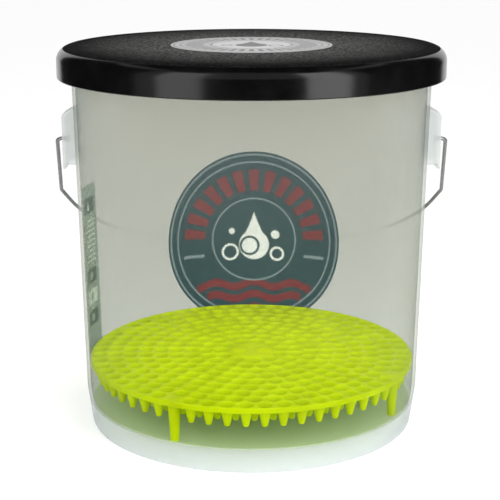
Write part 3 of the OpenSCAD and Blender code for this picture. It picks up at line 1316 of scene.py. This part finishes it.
@dataclass
class DirtTrap:
    """The lime trap: a disc of funnels on four legs. Sizes are in millimetres."""

    frame: dict
    radius: float = 135.6
    top_z: float = 52.7
    disc_t: float = 4.5
    tip_z: float = 35.7
    outer_ring: float = 128.0
    ring_step: float = 12.8
    counts: tuple[int, ...] = (56, 50, 45, 39, 34, 28, 22, 17, 11)
    leg_every: int = 14
    leg_turn: float = -27.6
    foot_z: float = 17.8
    leg_sides: int = 40
    edge_r: float = 0.7
    rim_sides: int = 224
    hub_r: float = 19.0
    hub_h: float = 0.8
    knob_x: float = 11.0
    knob_r: float = 8.0
    knob_h: float = 1.6
    funnel: Funnel = field(default_factory=Funnel)

    def centres(self) -> list[Point2]:
        """The funnels' centres, leaving out the leg places."""
        spots: list[Point2] = []
        for ring, count in enumerate(self.counts):
            r = self.outer_ring - ring * self.ring_step
            for i in range(count):
                if ring == 0 and i % self.leg_every == 0:
                    continue
                turn = math.radians(self.leg_turn + 360.0 * i / count)
                spots.append((r * math.sin(turn), -r * math.cos(turn)))
        return spots

    def holed_face(
        self, rim_r: float, hole_r: float, rim_sides: int
    ) -> tuple[list[Point2], list[list[int]]]:
        """Fill a round face around the funnels' holes.

        Args:
            rim_r: the face's outer radius.
            hole_r: the holes' radius.
            rim_sides: how many sides its rim has.

        Returns:
            The points, the rim first and then each hole in turn, and the faces.
        """
        points: list[Point2] = [spot[:2] for spot in circle(rim_r, 0.0, rim_sides)]
        edges = [(i, (i + 1) % rim_sides) for i in range(rim_sides)]
        sides = self.funnel.sides
        for x, y in self.centres():
            first = len(points)
            points += [spot[:2] for spot in circle(hole_r, 0.0, sides, x, y)]
            edges += [(first + (i + 1) % sides, first + i) for i in range(sides)]
        flat = [Vector(p) for p in points]
        _, _, faces, _, _, _ = geometry.delaunay_2d_cdt(flat, edges, [], 0, 1e-7, False)
        keep: list[list[int]] = []
        hole_of = [-1] * rim_sides + [i // sides for i in range(len(points) - rim_sides)]
        for face in faces:
            owners = {hole_of[i] for i in face if i < len(points)}
            if len(owners) == 1 and -1 not in owners:
                continue
            keep.append(list(face))
        return points, keep

    def disc(self) -> bpy.types.Object:
        """Build the disc with every funnel as one closed mesh."""
        under = self.top_z - self.disc_t
        section = self.funnel.section(self.top_z, under, self.tip_z)
        rim_sides, sides, edge_r = self.rim_sides, self.funnel.sides, self.edge_r
        flat_r = self.radius - edge_r
        turns = [math.pi / 2 * i / 4 for i in range(5)]
        rounding = [(edge_r * math.sin(a), edge_r * math.cos(a)) for a in turns]
        rim_section = [(flat_r + out, self.top_z - edge_r + up) for out, up in rounding]
        rim_section += [(flat_r + out, under + edge_r - up) for out, up in reversed(rounding)]
        top_points, top_faces = self.holed_face(rim_section[0][0], section[0][0], rim_sides)
        low_points, low_faces = self.holed_face(rim_section[-1][0], section[-1][0], rim_sides)
        verts: list[Point3] = [(x, y, self.top_z) for x, y in top_points]
        low_at = len(verts)
        verts += [(x, y, under) for x, y in low_points]
        faces: list[list[int]] = [list(f) for f in top_faces]
        faces += [[low_at + i for i in reversed(f)] for f in low_faces]
        rows = [list(range(rim_sides))]
        for r, z in rim_section[1:-1]:
            rows.append(list(range(len(verts), len(verts) + rim_sides)))
            verts += circle(r, z, rim_sides)
        rows.append([low_at + i for i in range(rim_sides)])
        faces += self.band(rows, rim_sides, True)
        for number, (x, y) in enumerate(self.centres()):
            first = rim_sides + number * sides
            rows = [[first + i for i in range(sides)]]
            for r, z in section[1:-1]:
                rows.append(list(range(len(verts), len(verts) + sides)))
                verts += circle(r, z, sides, x, y)
            rows.append([low_at + first + i for i in range(sides)])
            faces += self.band(rows, sides, False)
        return make_piece("trap_disc", verts, faces, 50.0)

    def band(self, rows: Sequence[Sequence[int]], sides: int, outward: bool) -> list[list[int]]:
        """Join rows of corners, from the upper face down, into bands of faces.

        Args:
            rows: the corner numbers of each row.
            sides: how many corners a row has.
            outward: True where the band faces away from its axis.

        Returns:
            The faces.
        """
        faces = []
        for high, low in zip(rows, rows[1:]):
            for i in range(sides):
                j = (i + 1) % sides
                quad = [high[i], low[i], low[j], high[j]]
                faces.append(quad if outward else quad[::-1])
        return faces

    def hub_height(self, x: float, y: float) -> float:
        """The height of the hub's surface above the disc."""
        edge = 1.0 - math.hypot(x, y) / self.hub_r
        height = self.hub_h * min(1.0, max(0.0, edge * 6.0))
        for side in (-1.0, 1.0):
            away = math.hypot(x - side * self.knob_x, y) / self.knob_r
            height += self.knob_h * max(0.0, 1.0 - away * away) ** 0.8
        return height

    def hub(self) -> bpy.types.Object:
        """Make the flat middle with its two rounded knobs."""
        rings, sides = 40, 120
        verts: list[Point3] = [(0, 0, self.top_z + self.hub_height(0, 0)), (0, 0, self.top_z)]
        faces: list[list[int]] = []
        for ring in range(1, rings + 1):
            r = self.hub_r * ring / rings
            verts += [(x, y, self.top_z + self.hub_height(x, y)) for x, y, _ in circle(r, 0.0, sides)]
        rim = 2 + (rings - 1) * sides
        for i in range(sides):
            j = (i + 1) % sides
            faces += [[0, 2 + i, 2 + j], [1, rim + j, rim + i]]
            for ring in range(rings - 1):
                a, b = 2 + ring * sides, 2 + (ring + 1) * sides
                faces.append([a + i, b + i, b + j, a + j])
        return make_piece("trap_hub_knobs", verts, faces, 60.0)

    def leg(self, quarter: int) -> bpy.types.Object:
        """Turn one tapered leg with a flared root and a rounded foot.

        Args:
            quarter: how many quarter turns it stands from the front leg.

        Returns:
            The leg.
        """
        under = self.top_z - self.disc_t
        outline = [
            (0.0, self.foot_z, 0.0),
            (3.3, self.foot_z, 0.8),
            (5.0, under - 2.0, 3.0),
            (5.5, under, 0.0),
            (0.0, under, 0.0),
        ]
        made = lathe(f"trap_post_{quarter + 1}", rounded(outline), self.leg_sides)
        turn = math.radians(self.leg_turn + 90.0 * quarter)
        where = Vector((self.outer_ring * math.sin(turn), -self.outer_ring * math.cos(turn), 0)) * MM
        place(made, Matrix.Translation(where))
        return made

    def build(self) -> None:
        """Make and dress every piece of the trap."""
        lime = LimePlastic().material()
        dress(self.disc(), Body.TRAP, [lime], ["trap_plate"])
        for quarter, side in enumerate(("front", "right", "back", "left")):
            dress(self.leg(quarter), Body.TRAP, [lime], [f"trap_leg_{side}"])
        dress(self.hub(), Body.TRAP, [lime], ["trap_hub"])


# ---------------------------------------------------------------------------
# Studio
# ---------------------------------------------------------------------------


@dataclass
class Studio:
    """The floor, the lights and the camera. Lengths are in metres."""

    camera_at: Point3 = (-0.0012, -1.057, 0.413)
    pitch_down_deg: float = 14.44
    lens: float = 94.25
    floor_half: float = 12.0
    sky: float = 1.0
    boxes: tuple[tuple[float, float], ...] = ((-38.0, 7.0), (41.0, 12.0))
    box_reach: float = 0.95
    box_size: Point2 = (0.42, 1.15)
    card_reach: float = 0.98
    low_card: Point3 = (-26.0, 30.0, 0.44)
    side_card: Point3 = (64.0, 138.0, 1.3)
    top_card_half: float = 0.8
    top_card_z: float = 1.45
    card_black: PlainMoulding = PlainMoulding("card_black", (0.004, 0.004, 0.004), 0.9)
    paint: PlainMoulding = PlainMoulding(
        "floor_paint", (0.97, 0.97, 0.97), 0.8, texture_scale=60.0, texture_depth=0.00005, shade=0.99
    )

    def floor(self) -> None:
        """Lay the pale floor."""
        h = self.floor_half / MM
        made = make_piece("floor", [(-h, -h, 0), (h, -h, 0), (h, h, 0), (-h, h, 0)], [[0, 1, 2, 3]])
        made.data.materials.append(self.paint.material())

    def dark_card(self, name: str, verts: Sequence[Point3], faces: Sequence[Sequence[int]]) -> None:
        """Put up a dark card that only shows in glossy reflections.

        Args:
            name: the card's name.
            verts: its corners, in millimetres.
            faces: its faces, as corner numbers.
        """
        made = make_piece(name, verts, faces)
        made.data.materials.append(self.card_black.material())
        made.visible_camera = made.visible_diffuse = made.visible_shadow = made.visible_transmission = False

    def curved_card(self, name: str, start_deg: float, end_deg: float, top: float) -> None:
        """Stand a curved dark card round the object.

        Args:
            name: the card's name.
            start_deg: the direction of its first edge, from the front towards the right.
            end_deg: the direction of its last edge.
            top: the height of its upper edge.
        """
        steps = 12
        verts: list[Point3] = []
        for i in range(steps + 1):
            turn = math.radians(start_deg + (end_deg - start_deg) * i / steps)
            x, y = self.card_reach * math.sin(turn) / MM, -self.card_reach * math.cos(turn) / MM
            verts += [(x, y, 1.0), (x, y, top / MM)]
        self.dark_card(name, verts, [[2 * i, 2 * i + 2, 2 * i + 3, 2 * i + 1] for i in range(steps)])

    def lamp(self, name: str, at: Point3, aim: Point3, size: Point2, power: float) -> None:
        """Hang one soft lamp.

        Args:
            name: the lamp's name.
            at: where it hangs.
            aim: the point it faces.
            size: its width and height.
            power: its power in watts.
        """
        light = bpy.data.lights.new(name, "AREA")
        light.shape = "RECTANGLE"
        light.size, light.size_y = size
        light.energy = power
        made = bpy.data.objects.new(name, light)
        made.location = at
        made.rotation_euler = (Vector(aim) - Vector(at)).to_track_quat("-Z", "Y").to_euler()
        made.visible_camera = False
        bpy.context.scene.collection.objects.link(made)

    def build(self) -> None:
        """Set up the whole studio."""
        scene = bpy.context.scene
        world = bpy.data.worlds.new("soft_sky")
        world.use_nodes = True
        sky = world.node_tree.nodes["Background"]
        sky.inputs["Color"].default_value = (1.0, 1.0, 1.0, 1.0)
        sky.inputs["Strength"].default_value = self.sky
        scene.world = world
        scene.view_settings.view_transform = "Standard"
        self.floor()
        start, end, top = self.side_card
        self.curved_card("card_front", *self.low_card)
        self.curved_card("card_right", start, end, top)
        self.curved_card("card_left", -end, -start, top)
        h, z = self.top_card_half / MM, self.top_card_z / MM
        self.dark_card("card_top", [(-h, -h, z), (h, -h, z), (h, h, z), (-h, h, z)], [[0, 1, 2, 3]])
        middle = self.box_size[1] / 2 + 0.05
        for number, (turn_deg, power) in enumerate(self.boxes, 1):
            turn = math.radians(turn_deg)
            at = (self.box_reach * math.sin(turn), -self.box_reach * math.cos(turn), middle)
            self.lamp(f"softbox_{number}", at, (0, 0, middle), self.box_size, power)
        self.lamp("lamp_inside", (0, 0, 0.28), (0, 0, 0), (0.2, 0.2), 0.5)
        eye = bpy.data.cameras.new("studio_camera")
        eye.lens = self.lens
        eye.sensor_width = 36.0
        eye.clip_start, eye.clip_end = 0.05, 60.0
        made = bpy.data.objects.new("studio_camera", eye)
        made.location = self.camera_at
        made.rotation_euler = (math.radians(90.0 - self.pitch_down_deg), 0.0, 0.0)
        scene.collection.objects.link(made)
        scene.camera = made


def main() -> None:
    """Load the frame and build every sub-assembly."""
    logging.basicConfig(level=logging.INFO, format="%(name)s %(message)s")
    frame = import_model()
    Studio().build()
    for part in (Pail(frame), Bail(frame), Lid(frame), DirtTrap(frame)):
        part.build()


if __name__ == "__main__":
    main()
